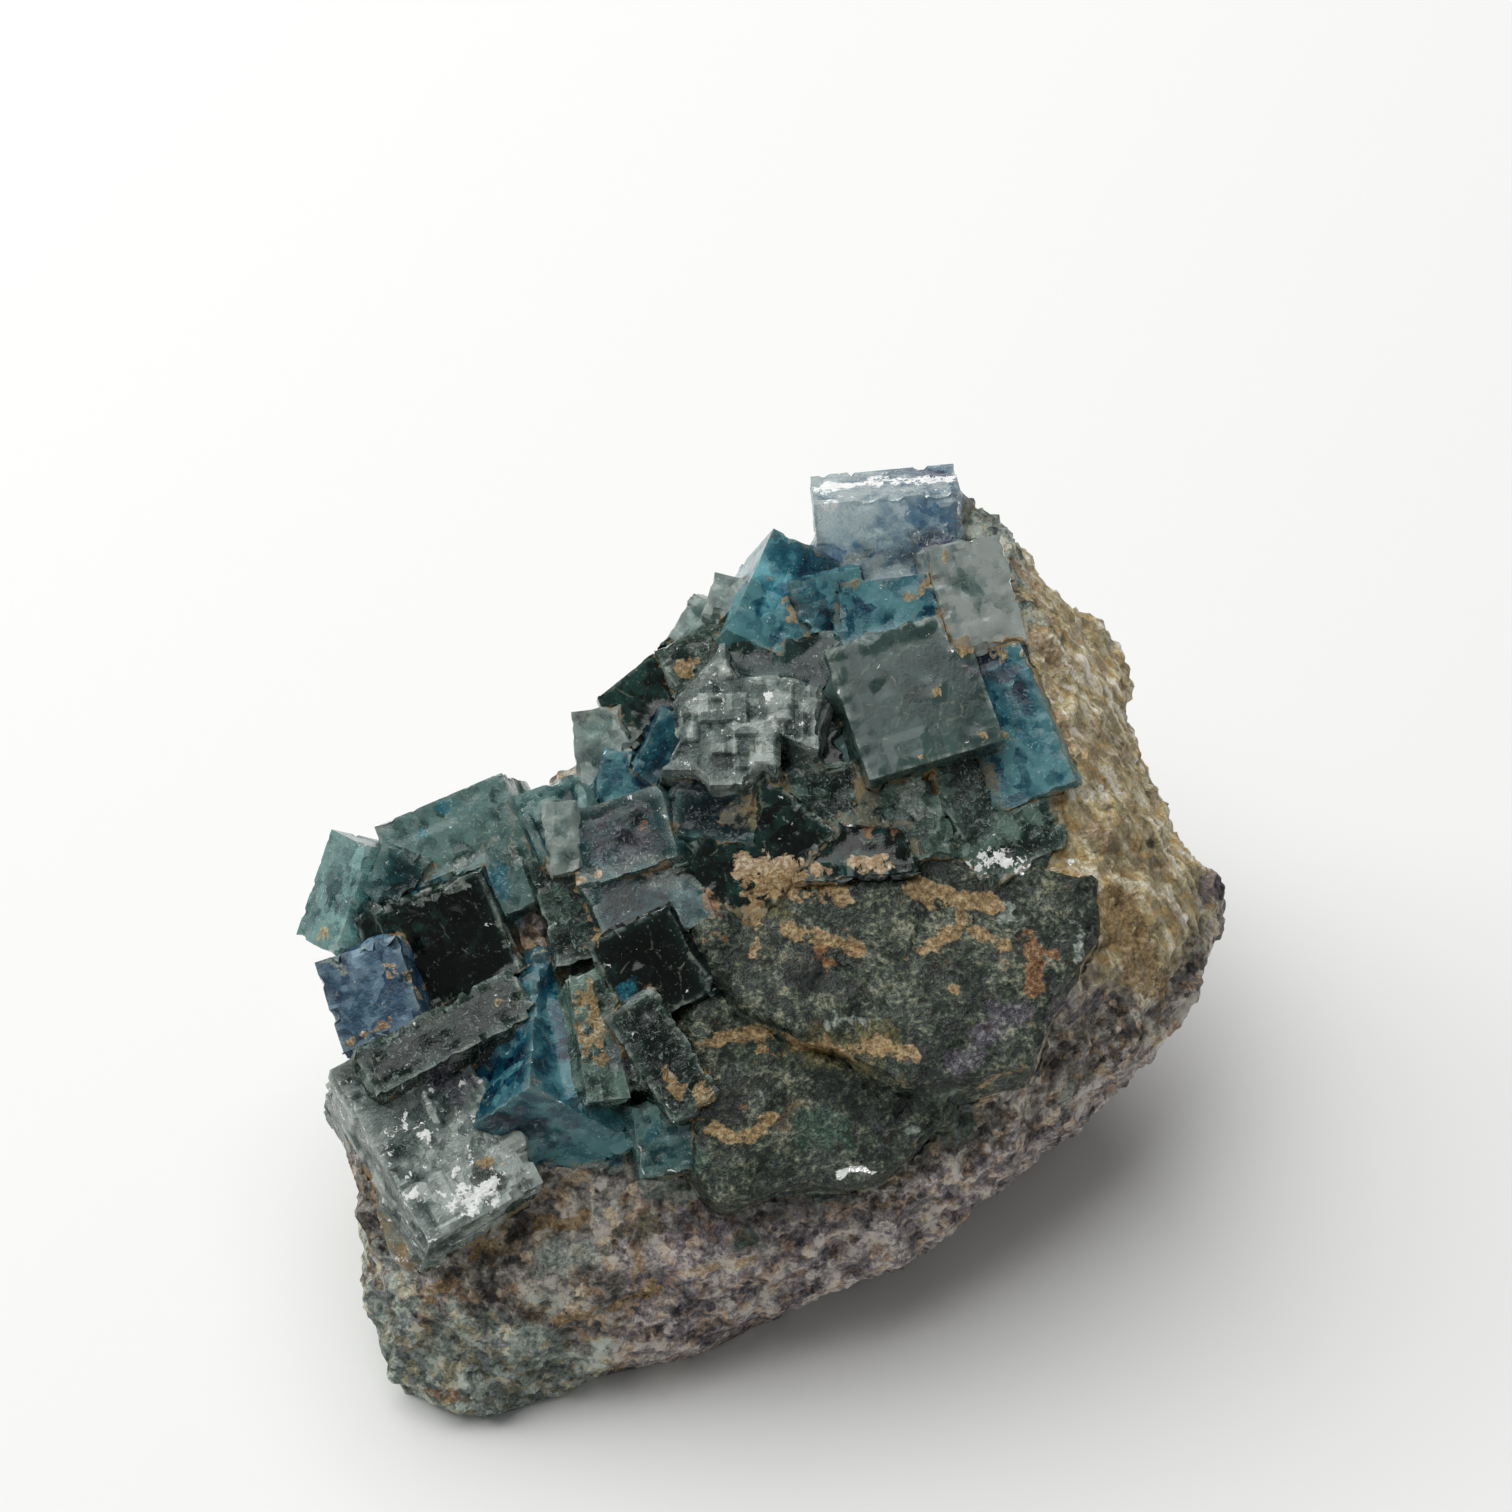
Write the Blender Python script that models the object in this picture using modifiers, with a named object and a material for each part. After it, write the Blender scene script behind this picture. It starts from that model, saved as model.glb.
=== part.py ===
"""Fluorite specimen: cubic crystals grown on one broken piece of matrix rock.

Places and sizes are in millimetres and turns in degrees; MM turns lengths into metres.
The rock rests on its flat base at Z = 0. The long way is X, and the crystal slope faces -Y and up.
"""
import math

import bmesh
import bpy
from mathutils import Euler, Matrix, Vector, noise

MM = 0.001
GAP = 0.3                # clearance between two pieces that touch
BASE_CUT = 1.0           # what the flat resting face takes off the bottom of the rock

ROCK_CELL = 2.6          # face size of the rock's surface
ROCK_LUMPS = ((11.0, 0.9), (4.5, 0.45))      # (wavelength, height) of its lumps
WELD = 0.0005             # points closer than this are one point

# The corners that the rock was broken to, from the base up.
ROCK_BASE = ((-28, -26), (-20, -27.5), (-8, -22.5), (4, -16.5), (14, -10.5), (22, -2),
             (25, 8), (21, 20), (8, 26), (-8, 24), (-21, 15), (-29, 3), (-30, -12))
ROCK_FLANK = ((-31, -24.5, 6), (-30, -28, 2.5), (-22.5, -29.5, 2), (-13, -27, 3), (-5, -24, 4),
              (2.5, -23, 7), (9, -22, 10), (14, -18.5, 12), (18.5, -16, 13), (23, -12.5, 15),
              (27, -9, 17), (31, -6.5, 18), (34, -4, 20), (36, 0.5, 22), (33, 7, 24),
              (31, 13, 26), (29, 20, 29), (28, 26, 30), (24, 31, 19), (8, 31, 18),
              (-7, 24, 20), (-20, 12, 17), (-31, 5, 18), (-33, -12, 20), (-32, -21, 12))
ROCK_CROWN = ((-27, -24, 13), (-16, -25.5, 12.5), (-5, -23.5, 15), (3, -21.5, 17), (9, -20.5, 18.5),
              (14, -17, 20.5), (20, -13.5, 23), (26.5, -7, 25.5), (31, -1, 28.5), (26, 0, 33.5),
              (28, 6, 34), (25, 12.5, 39.5), (22.5, 12, 41), (19.5, 16, 44), (16, 27.5, 48.5),
              (21, 24, 41.5), (7, 26, 42), (-4, 19, 39), (-11, 10, 33), (-22, 4, 27.5),
              (-31, 0, 24), (-31, -10, 22), (-14, -3, 27.5), (0, 0, 32.5), (5, 14, 41.5))

# Two knobs that stand out of the rock: (place, reach, push).
KNOBS = (((35, 7, 21), 6, (3.0, 0.5, 0.0)),
         ((27.5, 26, 30), 5, (1.0, 1.0, 1.5)))

SMOKE = (0.10, 0.12, 0.12)
BLACK = (0.012, 0.018, 0.018)
GREEN = (0.015, 0.045, 0.040)
TEAL = (0.020, 0.090, 0.105)
BLUE = (0.020, 0.090, 0.190)
VIOLET = (0.110, 0.130, 0.230)
PALE = (0.330, 0.400, 0.400)
SILVER = (0.300, 0.310, 0.300)
ROCK = (0.150, 0.135, 0.115)

# Three crystals grew as plates. Each outline lies on the plate's face, seen from outside.
PLATE_DEPTH = 9.0
STEPPED_OUTLINE = ((2.5, 2.5), (0.5, 0), (-1, -1.5), (-0.5, -4.5), (-2, -7.5), (0.5, -7.5),
                   (1.5, -8.5), (3.5, -8.5), (5.5, -7), (6.5, -8), (6.5, -4.5), (9.5, -6),
                   (9.5, -1), (8, -0.5), (3.5, 0))
CRUST_OUTLINE = ((-0.5, 0), (12.5, 0.5), (23, -1), (30.5, -2), (30.5, -6), (27, -11.5),
                 (25, -16.5), (20.5, -17.5), (15.5, -18), (7.5, -14), (3, -11.5), (0.5, -5.5))
SLAB_OUTLINE = ((0, 1), (5, 0), (15, -4), (20, -3.5), (18.5, -7), (14.5, -11.5), (10.5, -12.5),
                (5.5, -12.5), (1, -14), (-1, -11))

# Each crystal: name, place, shape, turn about X, Y and Z, colour.
# A shape of three numbers is a block's size, placed by its centre; a longer one is an outline.
# Where two crystals meet, the one listed first is whole and the other one stops against it.
CRYSTALS = (
    ("silver_corner", (-26, -15.5, 18), (9.5, 15, 11.5), (22, -3, 32), SILVER),
    ("left_dark", (-24.5, 0, 25), (10.5, 8.5, 10), (-48, 24, -173), BLACK),
    ("big_blue", (-18.5, -10.5, 20), (9.5, 13.5, 13), (0, 41, -1), BLUE),
    ("left_back", (-23, 4, 28.5), (10.5, 10, 9), (-32, 19, -166), SMOKE),
    ("left_tip", (-32, 4, 24.5), (8.5, 6, 5), (-61, 43, -116), PALE),
    ("left_frosted", (-30, -5, 24), (6.5, 7, 6.5), (-141, -20, 7), BLUE),
    ("teal_chip", (-28.5, 2, 29.5), (4, 3.5, 5), (-141, 15, -18), TEAL),
    ("saddle_teal", (-16.5, 4, 32.5), (5.5, 5, 7), (3, 24, -63), TEAL),
    ("saddle_green", (-15, -0.5, 29), (8, 5, 8), (9, 37, -70), GREEN),
    ("saddle_pale", (-15.5, 2, 34), (5, 2, 5), (-168, 35, -80), PALE),
    ("centre_teal", (-9, -2, 29.5), (8, 6, 8), (-159, -10, 20), TEAL),
    ("violet_wedge", (-11, 2.5, 32.5), (7.5, 5.5, 8), (27, -14, 12), VIOLET),
    ("centre_black", (-9, -6, 28.5), (6.5, 7, 8), (-39, 18, -161), BLACK),
    ("stained_blade", (-13.5, -11.5, 25.5), (9.5, 3, 8), (-6, 28, -80), GREEN),
    ("violet_block", (-8.5, -12.5, 25), (9, 4, 8), (13, 30, -51), VIOLET),
    ("foot_teal", (-8, -17, 21), (4.5, 5, 6), (-146, 1, 12), TEAL),
    ("pitted_shelf", (-24.5, -10.5, 23.5), (13.5, 4, 8), (-167, -10, 27), GREEN),
    ("pale_left", (-12.5, 10.5, 33), (8, 3.5, 6), (16, 36, -84), PALE),
    ("blue_bar", (-8.5, 10, 36), (5, 2.5, 5), (-33, 38, -126), BLUE),
    ("green_top", (-4.5, 16.5, 39), (7, 3.5, 6), (-149, -18, 20), GREEN),
    ("dark_bar", (-8, 14, 36), (6.5, 7, 6), (-148, -26, 30), BLACK),
    ("blue_wedge", (-10, 8, 33), (6, 4, 6), (-144, 6, -15), BLUE),
    ("pale_crest_low", (-5, 19.5, 39.5), (3.5, 3, 5), (-17, 43, -128), PALE),
    ("pale_crest_high", (-3, 19.5, 42), (3, 2.5, 5), (176, 33, -108), PALE),
    ("blue_tip", (1, 19, 40.5), (9, 8, 9), (-25, 17, -113), BLUE),
    ("inner_blue", (5, 18, 43), (5, 5, 5), (-136, -9, 9), BLUE),
    ("top_cube", (9.5, 24.5, 44), (11, 9, 7), (-117, -4, 3), VIOLET),
    ("right_pale", (15.5, 18.5, 43.5), (5.5, 8, 7), (39, -1, 16), PALE),
    ("veil_crystal", (11, 7.5, 34.5), (11.5, 4.5, 7), (-134, 31, -51), TEAL),
    ("grey_mirror", (11, 11, 38.5), (10.5, 10.5, 9), (-156, -6, 17), SMOKE),
    ("deep_blue", (18.5, 11, 36.5), (12.5, 8, 8), (-152, 28, -66), BLUE),
    ("stepped_mirror", (-6, 10.5, 43), STEPPED_OUTLINE, (23, 0, 1), SILVER),
    ("mirror_shelf", (1, 13.5, 39.5), (8.5, 4, 7), (-156, -2, 6), SMOKE),
    ("under_teal", (-4, 4, 35), (6, 5, 6), (-144, 5, -5), TEAL),
    ("dark_point", (-1, 2, 32.5), (7, 9.5, 8), (-148, 24, -33), BLACK),
    ("mid_block", (5, 5, 34), (8, 6, 7), (-146, 2, 13), GREEN),
    ("pitted_slope", (15, 8, 34), (17, 7, 9), (-169, 28, -54), GREEN),
    ("upper_blue", (10, 17, 42), (9, 6, 7), (-147, -4, 5), BLUE),
    ("dark_gap", (3.5, 12, 36.5), (5.5, 11, 7), (-148, 0, 0), BLACK),
    ("shadow_block", (9.5, 5, 33.5), (7, 8, 8), (-147, -6, 7), GREEN),
    ("lower_mid", (6.5, 1.5, 32.5), (9, 5, 7), (-156, -2, 4), BLACK),
    ("crusted_block", (-5.5, -0.5, 34.5), CRUST_OUTLINE, (21, 1, 2), GREEN),
    ("lower_slab", (-5, -11.5, 28.5), SLAB_OUTLINE, (29, 2, 3), GREEN),
)


def new_collection(name):
    collection = bpy.data.collections.new(name)
    bpy.context.scene.collection.children.link(collection)
    return collection


def new_object(name, mesh, collection):
    obj = bpy.data.objects.new(name, mesh)
    collection.objects.link(obj)
    return obj


def finish(name, colour, roughness):
    """A plain dielectric material in the piece's own colour."""
    material = bpy.data.materials.new(name)
    material.use_nodes = True
    shader = material.node_tree.nodes["Principled BSDF"]
    shader.inputs["Base Color"].default_value = (*colour, 1.0)
    shader.inputs["Roughness"].default_value = roughness
    shader.inputs["Metallic"].default_value = 0.0
    return material


def to_mesh(bm, name):
    mesh = bpy.data.meshes.new(name)
    bm.to_mesh(mesh)
    bm.free()
    return mesh


def evaluated(obj):
    """The object's mesh with its modifiers applied."""
    depsgraph = bpy.context.evaluated_depsgraph_get()
    return bpy.data.meshes.new_from_object(obj.evaluated_get(depsgraph))


def placement(centre, turn):
    angles = Euler([math.radians(angle) for angle in turn])
    return Matrix.Translation(Vector(centre) * MM) @ angles.to_matrix().to_4x4()


def solid(shape, grow=0.0):
    """A block, or a plate under its outline, with every face moved out by grow."""
    bm = bmesh.new()
    if len(shape) == 3:
        bmesh.ops.create_cube(bm, size=1.0)
        bmesh.ops.scale(bm, vec=Vector(shape) * MM, verts=bm.verts)
    else:
        face = bm.faces.new([bm.verts.new((x * MM, y * MM, 0)) for x, y in shape])
        extruded = bmesh.ops.extrude_face_region(bm, geom=[face], use_keep_orig=True)
        deep = [item for item in extruded["geom"] if isinstance(item, bmesh.types.BMVert)]
        bmesh.ops.translate(bm, vec=(0, 0, -PLATE_DEPTH * MM), verts=deep)
        bmesh.ops.recalc_face_normals(bm, faces=bm.faces)
    bm.normal_update()
    moves = [(vert, vert.normal * vert.calc_shell_factor() * grow * MM) for vert in bm.verts]
    for vert, move in moves:
        vert.co += move
    return bm


def islands(bm):
    """The separate bodies of a mesh, as lists of faces."""
    left = set(bm.faces)
    while left:
        seed = left.pop()
        body = [seed]
        for face in body:
            for edge in face.edges:
                for other in edge.link_faces:
                    if other in left:
                        left.remove(other)
                        body.append(other)
        yield body


def volume(faces):
    total = 0.0
    for face in faces:
        first = face.verts[0].co
        for a, b in zip(face.verts[1:], face.verts[2:]):
            total += first.dot(a.co.cross(b.co)) / 6
    return total


def cut(obj, cutters):
    """Take the cutters out of an object and keep the largest body that is left."""
    for cutter in cutters:
        modifier = obj.modifiers.new("Meets " + cutter.name, "BOOLEAN")
        modifier.operation = "DIFFERENCE"
        modifier.solver = "EXACT"
        modifier.object = cutter
    mesh = evaluated(obj)
    obj.modifiers.clear()
    bm = bmesh.new()
    bm.from_mesh(mesh)
    bmesh.ops.remove_doubles(bm, verts=bm.verts, dist=WELD * MM)
    bmesh.ops.dissolve_degenerate(bm, edges=bm.edges, dist=WELD * MM)
    bodies = sorted(islands(bm), key=volume)
    loose = [face for body in bodies[:-1] for face in body]
    bmesh.ops.delete(bm, geom=loose, context="FACES")
    bmesh.ops.triangulate(bm, faces=bm.faces)
    bm.to_mesh(mesh)
    bm.free()
    obj.data = mesh


def hull_of_rock(collection):
    """The rock as it broke: the hull of its corners, with an even skin of small faces."""
    corners = [(x, y, -BASE_CUT) for x, y in ROCK_BASE] + list(ROCK_FLANK) + list(ROCK_CROWN)
    bm = bmesh.new()
    for corner in corners:
        bm.verts.new(Vector(corner) * MM)
    hull = bmesh.ops.convex_hull(bm, input=bm.verts)
    inside = [item for item in hull["geom_interior"] if isinstance(item, bmesh.types.BMVert)]
    bmesh.ops.delete(bm, geom=inside, context="VERTS")
    bmesh.ops.recalc_face_normals(bm, faces=bm.faces)
    rock = new_object("matrix_rock", to_mesh(bm, "matrix_rock"), collection)
    skin = rock.modifiers.new("Even skin", "REMESH")
    skin.mode = "VOXEL"
    skin.voxel_size = ROCK_CELL * MM
    rock.data = evaluated(rock)
    rock.modifiers.clear()
    return rock


def weather(bm):
    """Raise the rock's lumps and knobs, and grind its base flat."""
    bm.normal_update()
    for vert in bm.verts:
        place = vert.co / MM
        rise = sum(height * noise.noise(place / length) for length, height in ROCK_LUMPS)
        moved = place + vert.normal * rise
        for centre, reach, push in KNOBS:
            near = max(0.0, 1.0 - (place - Vector(centre)).length / reach)
            moved += Vector(push) * near * (2.0 - near)
        vert.co = moved * MM
    geometry = bm.verts[:] + bm.edges[:] + bm.faces[:]
    ground = bmesh.ops.bisect_plane(bm, geom=geometry, plane_co=(0, 0, 0), plane_no=(0, 0, 1),
                                    clear_inner=True)
    rim = [item for item in ground["geom_cut"] if isinstance(item, bmesh.types.BMEdge)]
    bmesh.ops.holes_fill(bm, edges=rim, sides=0)
    bmesh.ops.recalc_face_normals(bm, faces=bm.faces)
    bmesh.ops.triangulate(bm, faces=bm.faces)


def build_rock(collection):
    rock = hull_of_rock(collection)
    bm = bmesh.new()
    bm.from_mesh(rock.data)
    weather(bm)
    rock.data = to_mesh(bm, "matrix_rock")
    rock.data.materials.append(finish("Matrix rock", ROCK, 0.8))
    return rock


def build_crystals(collection, cutters):
    """Every crystal, stopped by the ones listed before it; returns the sockets they sit in."""
    sockets = []
    for name, centre, shape, turn, colour in CRYSTALS:
        place = placement(centre, turn)
        crystal = new_object(name, to_mesh(solid(shape), name), collection)
        crystal.matrix_world = place
        crystal.data.materials.append(finish("Fluorite, " + name.replace("_", " "), colour, 0.15))
        cut(crystal, sockets)
        socket = new_object("socket_" + name, to_mesh(solid(shape, GAP), name), cutters)
        socket.matrix_world = place
        socket.hide_render = True
        socket.display_type = "WIRE"
        sockets.append(socket)
    return sockets


def centre_over_origin(pieces, cutters):
    """Slide everything so that the specimen's footprint box is centred on the origin."""
    points = [piece.matrix_world @ vert.co for piece in pieces for vert in piece.data.vertices]
    slide = Vector((0, 0, 0))
    for axis in (0, 1):
        along = [point[axis] for point in points]
        slide[axis] = -(min(along) + max(along)) / 2
    for obj in pieces + cutters:
        obj.matrix_world.translation = obj.matrix_world.translation + slide


def main():
    for obj in list(bpy.data.objects):
        bpy.data.objects.remove(obj, do_unlink=True)
    specimen = new_collection("Fluorite specimen")
    cutters = new_collection("Sockets")
    rock = build_rock(specimen)
    sockets = build_crystals(specimen, cutters)
    cut(rock, sockets)
    bpy.context.view_layer.update()
    centre_over_origin(list(specimen.objects), sockets)


main()
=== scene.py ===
import math
import random

import bmesh
import bpy
import numpy as np
from mathutils import Matrix, Vector, noise
from mathutils.bvhtree import BVHTree


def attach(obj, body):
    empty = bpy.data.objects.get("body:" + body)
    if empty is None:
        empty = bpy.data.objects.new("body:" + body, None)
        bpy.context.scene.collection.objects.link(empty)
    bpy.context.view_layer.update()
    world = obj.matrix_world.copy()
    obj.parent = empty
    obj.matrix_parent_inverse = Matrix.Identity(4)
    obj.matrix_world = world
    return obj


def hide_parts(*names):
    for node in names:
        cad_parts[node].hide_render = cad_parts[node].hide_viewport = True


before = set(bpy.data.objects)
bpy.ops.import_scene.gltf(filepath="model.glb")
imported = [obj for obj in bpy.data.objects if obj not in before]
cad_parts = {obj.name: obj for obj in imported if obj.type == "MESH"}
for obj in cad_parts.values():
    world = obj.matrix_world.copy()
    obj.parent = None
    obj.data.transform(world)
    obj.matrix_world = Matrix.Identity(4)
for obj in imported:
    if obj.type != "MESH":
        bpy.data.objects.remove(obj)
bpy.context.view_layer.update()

MM = 0.001
BODY = "root"

# The view: straight along +Y and down, at arm's length with a long lens.
VIEW_DOWN = 48.0
VIEW_AT = (-0.9, 22.0, 20.5)
VIEW_AWAY = 320.0
LENS = 91.6
FILM_WIDTH = 36.0

# The size of the small faces that each piece is regrown with.
CRYSTAL_CELL = 0.29
SLAB_CELL = 0.45
ROCK_CELL = 0.5

# How a crystal is regrown.
SWELL = 0.17                 # outwards all over: closes the gap that the CAD solids keep between them
MASSIVE = 0.3                # a piece with more lumps than this has no cube faces left
SQUARED = 0.3                # a point this near to a face of the cube is put on it
ETCHED = 16                  # a crystal with more growth steps than this has narrow and tall ones
STEP_HEIGHT = 0.11
ETCHED_STEP_HEIGHT = 0.26
DEEPEST, HIGHEST = -0.8, 0.25      # steps and pits together stay between these
CHIPPED = 1.1                # how far in from an edge the chips go
REACH = 2.2                  # how far it may grow to meet a neighbour
MASSIVE_REACH = 3.5
OVERLAP = 0.1                # how far it grows into the neighbour
EASE = 0.7                   # over how much of the end of its reach the growth dies away
TOUCHING = 0.3               # pieces this near to each other touch
NEAR = 1.5                   # beyond this they aren't near at all
FADE = 0.35                  # the distance in which closeness falls to a third
SHARP_EDGE = 22              # degrees; a sharper edge isn't smoothed over
SHARP_STONE = 38
NOISE_SEED = 5

# How far the rock goes in and out, and the heights between which it comes to its flat base.
ROCK_DEEPEST, ROCK_HIGHEST = -1.3, 0.25
BASE, ABOVE_BASE = 0.15, 1.65

# How far the outlines of marks wander, and how often, in turns for each millimetre.
WANDER = ((0.7, 0.45), (0.5, 1.3), (0.25, 3.1))
STREAK = np.array((0.43, -0.29, -0.85))      # the way the golden side is drawn out
DRAWN = 0.85                 # how much of its length a pattern loses that way: it shows 7 times as long

# How fine each pattern is, in cells for each metre, with the size of a cell. Real grains, dust and
# pits go down to 0.1 mm; they are drawn at 0.4 mm or more, so that they show.
CLOUDS = 210.0               # 4.8 mm: clouds of colour in fluorite
STAIN = 360.0                # 2.8 mm: iron stain on it
TATTER = 820.0               # 1.2 mm: ragged outlines
MOTTLE = 1000.0              # 1 mm: mottling
DUST = 2000.0                # 0.5 mm: dust, pits and bruises
BLOTCHES = 260.0             # 3.8 mm: light and dark patches of the rock
RUST = 420.0                 # 2.4 mm: iron stain in it
CRUMBS = 750.0               # 1.3 mm: clots of grains
GRAINS = 1250.0              # 0.8 mm: single grains
CROOKED = 1400.0             # 0.7 mm: what bends their outlines
SPECKS = 2400.0              # 0.4 mm: what lies between them

# The same in cells for each millimetre, along a crystal's own axes and across the streaks.
BEND = 1.6                   # 0.6 mm: what bends the panes
PANES = 0.5                  # 2 mm: panes of colour
BANDS = 0.4                  # 2.5 mm: growth bands
CRACKS = 0.37                # 2.7 mm: cracks inside
SLIVERS = 1.5                # 0.7 mm: thin layers of colour
GLINT_CELLS = 2.4                 # 0.4 mm: little cleavage faces, painted as glints
STREAKS = 0.9                # 1.1 mm: streaks on the golden side

FLUORITE_IOR = 1.434
PITS_DEPTH = 0.2             # bump
GRAINS_DEPTH = 0.35

# The floor's half width and the lights, in metres: name, place, side, radiance, and where it aims.
FLOOR = 1.5
LIGHTS = (
    ("Panel overhead", (-0.30, 0.30, 0.90), 1.3, 2.5, (0, 0.05, 0)),
    ("Window left", (-1.1, 0.35, 0.5), 0.8, 1.2, (0, 0, 0.02)),
)
ROOM_LIGHT = 0.2

# Each finish of fluorite: its name, its colours deep, body and painted glow, then its roughness, how
# clear it is, and its shares of dust, rust stain, painted glints and bump.
FLUORITES = {
    # smooth growth faces: they reflect the room as a dull grey sheen
    "mirror": ("Fluorite, smoky grey and mirror smooth", "#2d413c", "#3d524d", "#516963",
               0.08, 0.30, 0.2, 0.0, 0.0, 0.03),
    "smoke": ("Fluorite, smoky grey", "#142d2b", "#34504b", "#6b8c86",
              0.12, 0.35, 0.8, 0.0, 0.0, 0.15),
    # too deep to see into: black glass with sharp highlights
    "black": ("Fluorite, nearly black", "#060a08", "#111814", "#24463f",
              0.06, 0.30, 0.45, 0.0, 0.0, 0.1),
    # bruised and pitted: pale specks and a little rust over dark green
    "green": ("Fluorite, dark green", "#08160f", "#20372f", "#6a877a",
              0.15, 0.30, 0.95, 0.3, 0.05, 0.5),
    # clear: light goes in, and thin edges are painted a glowing blue-green
    "teal": ("Fluorite, teal", "#08262d", "#235f64", "#98c7c1",
             0.10, 0.60, 0.75, 0.1, 0.0, 0.25),
    "blue": ("Fluorite, clear blue", "#0a1a38", "#11607a", "#7cc4cc",
             0.06, 0.60, 0.6, 0.0, 0.0, 0.2),
    # etched all over: soft and matte, with no clear reflection
    "frosted": ("Fluorite, frosted blue", "#1f3b54", "#3c627c", "#8fafbf",
                0.35, 0.30, 0.5, 0.0, 0.0, 0.6),
    # hazy blue-grey with pale zones, and painted glints on small cleavage faces
    "violet": ("Fluorite, grey violet", "#22406a", "#5f89a4", "#cfe0e2",
               0.12, 0.55, 0.85, 0.0, 0.27, 0.35),
    # thin and full of fine cracks: milky, and light comes through
    "pale": ("Fluorite, pale green-grey", "#3f5f5b", "#8fa9a2", "#e0ebe5",
             0.10, 0.55, 0.5, 0.1, 0.0, 0.2),
    # etched in steps, silvery grey, with painted glints on its little faces
    "silver": ("Fluorite, etched and silvery", "#1e3532", "#66756f", "#bac4bd",
               0.18, 0.20, 0.6, 0.0, 0.38, 0.7),
}

# Each crystal: its finish, growth steps, pits, chipped edges, lumps, how light it is, and which way
# a painted glow lightens it.
CRYSTALS = {
    "silver_corner": ("silver", 26, 24, 1.0, 0.10, 0.0, (0.4, 0, 0.3)),
    "left_dark": ("black", 6, 10, 0.4, 0, -0.1, (0, 0, 0)),
    "big_blue": ("blue", 4, 12, 0.4, 0, 0.1, (0.7, -0.4, -0.3)),
    "left_back": ("smoke", 5, 6, 0.3, 0, 0.2, (0, 0, 0.3)),
    "left_tip": ("teal", 4, 4, 0.4, 0, 0.0, (-1.3, 0, 0.3)),
    "left_frosted": ("frosted", 10, 8, 1.0, 0.08, -0.3, (0, -0.3, 0.5)),
    "teal_chip": ("teal", 3, 4, 0.5, 0, -0.2, (-0.6, 0, 0.4)),
    "saddle_teal": ("teal", 5, 10, 0.6, 0.05, 0.2, (0, 0.6, 0.4)),
    "saddle_green": ("green", 6, 12, 0.6, 0.05, -0.1, (0, 0.5, 0)),
    "saddle_pale": ("pale", 3, 3, 0.5, 0, 0, (0, 0, 0.4)),
    "centre_teal": ("teal", 4, 8, 0.4, 0, -0.1, (0.5, 0, -0.3)),
    "violet_wedge": ("teal", 4, 6, 0.4, 0, -0.1, (0, -0.3, -0.5)),
    "centre_black": ("black", 3, 6, 0.3, 0, -0.2, (-0.7, 0, -0.3)),
    "stained_blade": ("green", 6, 12, 0.8, 0.08, 0.2, (0, 0, 0.3)),
    "violet_block": ("green", 5, 10, 0.7, 0.05, -0.45, (0, 0, -0.6)),
    "foot_teal": ("teal", 4, 8, 0.6, 0.05, 0.1, (0, 0, 0.3)),
    "pitted_shelf": ("green", 10, 30, 1.0, 0.12, -0.4, (0, 0, 0)),
    "pale_left": ("pale", 3, 3, 0.3, 0, 0.1, (0, 0, -0.3)),
    "blue_bar": ("blue", 2, 3, 0.4, 0, -0.1, (0, 0, 0)),
    "green_top": ("green", 5, 10, 0.6, 0.05, 0, (0, 0, 0)),
    "dark_bar": ("black", 4, 6, 0.4, 0, 0.1, (-0.8, 0, 0)),
    "blue_wedge": ("blue", 3, 5, 0.5, 0, 0.15, (0, 0, 0)),
    "pale_crest_low": ("pale", 2, 2, 0.4, 0, 0, (0, 0, 0)),
    "pale_crest_high": ("pale", 2, 2, 0.4, 0, 0.1, (0, 0, 0)),
    "blue_tip": ("blue", 3, 6, 0.3, 0, 0.16, (-0.9, 0, 0)),
    "inner_blue": ("blue", 3, 6, 0.4, 0, 0.2, (0, 0, 0)),
    "top_cube": ("violet", 8, 20, 0.6, 0, 0.1, (-0.5, 0.4, 0.3)),
    "right_pale": ("pale", 5, 6, 0.5, 0, 0.42, (0.5, 0, 0)),
    "veil_crystal": ("teal", 6, 14, 0.7, 0.08, 0.3, (0, 0, 0)),
    "grey_mirror": ("mirror", 2, 3, 0.06, 0, 0.05, (0, 0, 0)),
    "deep_blue": ("blue", 4, 8, 0.4, 0, 0.18, (0.4, -0.3, -0.3)),
    "stepped_mirror": ("silver", 44, 12, 0.7, 0, 0, (0, 0, 0)),
    "mirror_shelf": ("smoke", 5, 8, 0.5, 0, -0.4, (-0.6, 0, 0)),
    "under_teal": ("teal", 4, 6, 0.5, 0, -0.3, (0, 0, 0)),
    "dark_point": ("black", 5, 8, 0.5, 0, 0, (0, 0, 0)),
    "mid_block": ("green", 6, 20, 0.7, 0.08, 0, (0, 0, 0)),
    "pitted_slope": ("green", 14, 50, 0.9, 0.15, 0, (0, 0, 0)),
    "upper_blue": ("blue", 3, 6, 0.4, 0, 0.12, (-0.3, 0, 0)),
    "dark_gap": ("black", 4, 8, 0.5, 0, 0, (0, 0, 0)),
    "shadow_block": ("green", 8, 24, 0.8, 0.12, 0.12, (0, 0, 0)),
    "lower_mid": ("black", 6, 14, 0.8, 0.1, 0.2, (0, 0, 0)),
    "crusted_block": ("crusted", 30, 80, 1.0, 0.5, 0, (0, 0, 0)),
    "lower_slab": ("crusted", 24, 60, 1.0, 0.45, 0.1, (0, 0, 0)),
}
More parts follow.
